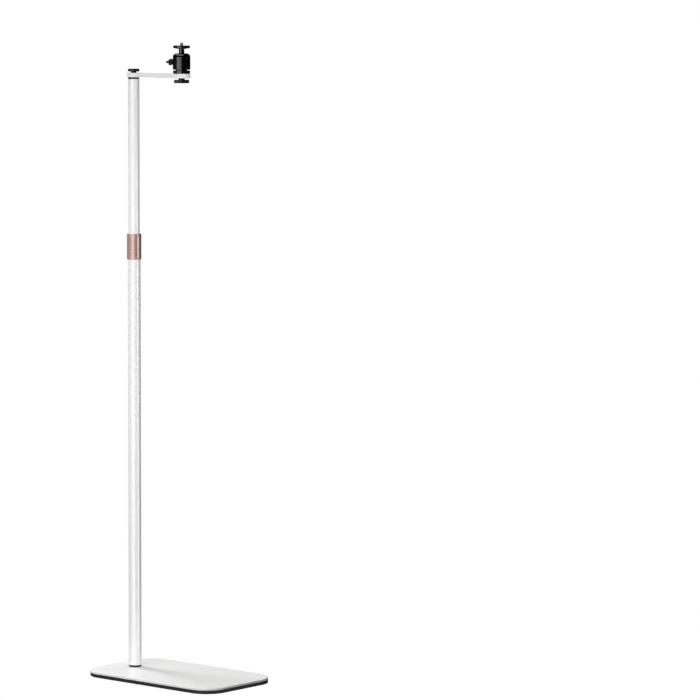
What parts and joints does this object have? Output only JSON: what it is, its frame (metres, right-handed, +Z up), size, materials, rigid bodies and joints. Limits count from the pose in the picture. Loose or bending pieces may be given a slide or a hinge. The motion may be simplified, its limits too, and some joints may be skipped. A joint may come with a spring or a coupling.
{
  "type": "portable projector stand",
  "caption": "Floor stand with a weighted plate, a telescopic pole with a twist lock, a swinging arm and a ball head whose platform holds a projector on a camera screw.",
  "frame": {"origin": "middle of the base on the floor", "axes": "+Z up, +X along the base from the pole's end towards the end the arm reaches over, +Y across the base"},
  "size_m": [0.34, 0.2, 1.2413],
  "materials": {
    "white_plate": "satin powder coat",
    "white_tube": "satin paint",
    "white_arm": "satin paint",
    "black_rubber": "matt",
    "black_plastic": "satin",
    "black_metal": "satin black anodised",
    "rose_gold": "satin rose-gold anodised",
    "steel": "bright"
  },
  "bodies": {
    "base": {"base_plate": "white_plate", "base_pad": "black_rubber", "base_bolt": "steel", "foot_plug": "black_plastic", "lower_tube": "white_tube"},
    "collar": {"lock_collar": "rose_gold"},
    "upper_pole": {"upper_tube": "white_tube", "tube_cap": "black_plastic"},
    "arm": {"arm_bar": "white_arm"},
    "clamp_knob": {"arm_knob": "black_plastic", "knob_stud": "steel"},
    "clamp_screw": {"wing_screw": "black_plastic", "wing_stud": "steel"},
    "head": {"head_base": "black_metal", "head_housing": "black_metal"},
    "ball": {"ball_stem": "black_metal"},
    "lock": {"lock_shaft": "steel", "lock_knob": "black_plastic"},
    "platform": {"platform_disc": "black_metal", "platform_pad": "black_rubber", "mount_screw": "steel"}
  },
  "joints": [
    {"name": "pole_slide", "type": "slide", "parent": "base", "child": "upper_pole", "axis": [0, 0, 1], "range_m": [-0.28, 0]},
    {"name": "collar_twist", "type": "hinge", "parent": "base", "child": "collar", "pos_m": [-0.1175, 0, 0.842], "axis": [0, 0, 1], "range_deg": [0, 180]},
    {"name": "arm_swing", "type": "hinge", "parent": "upper_pole", "child": "arm", "pos_m": [-0.1175, 0, 1.177], "axis": [0, 0, 1], "continuous": true},
    {"name": "clamp_knob_turn", "type": "hinge", "parent": "upper_pole", "child": "clamp_knob", "pos_m": [-0.1175, 0, 1.186], "axis": [0, 0, 1], "range_deg": [0, 360]},
    {"name": "clamp_screw_turn", "type": "hinge", "parent": "arm", "child": "clamp_screw", "pos_m": [0.0095, 0, 1.168], "axis": [0, 0, -1], "range_deg": [0, 360]},
    {"name": "head_pan", "type": "hinge", "parent": "arm", "child": "head", "pos_m": [0.0095, 0, 1.19], "axis": [0, 0, 1], "continuous": true},
    {"name": "head_tilt", "type": "hinge", "parent": "head", "child": "ball", "pos_m": [0.0095, 0, 1.2052], "axis": [-0.632, -0.7749, 0], "range_deg": [-15, 90]},
    {"name": "platform_spin", "type": "hinge", "parent": "ball", "child": "platform", "pos_m": [0.0095, 0, 1.232], "axis": [0, 0, 1], "continuous": true},
    {"name": "lock_turn", "type": "hinge", "parent": "head", "child": "lock", "pos_m": [0.0095, 0, 1.2041], "axis": [-0.632, -0.7749, 0], "range_deg": [0, 360]}
  ]
}
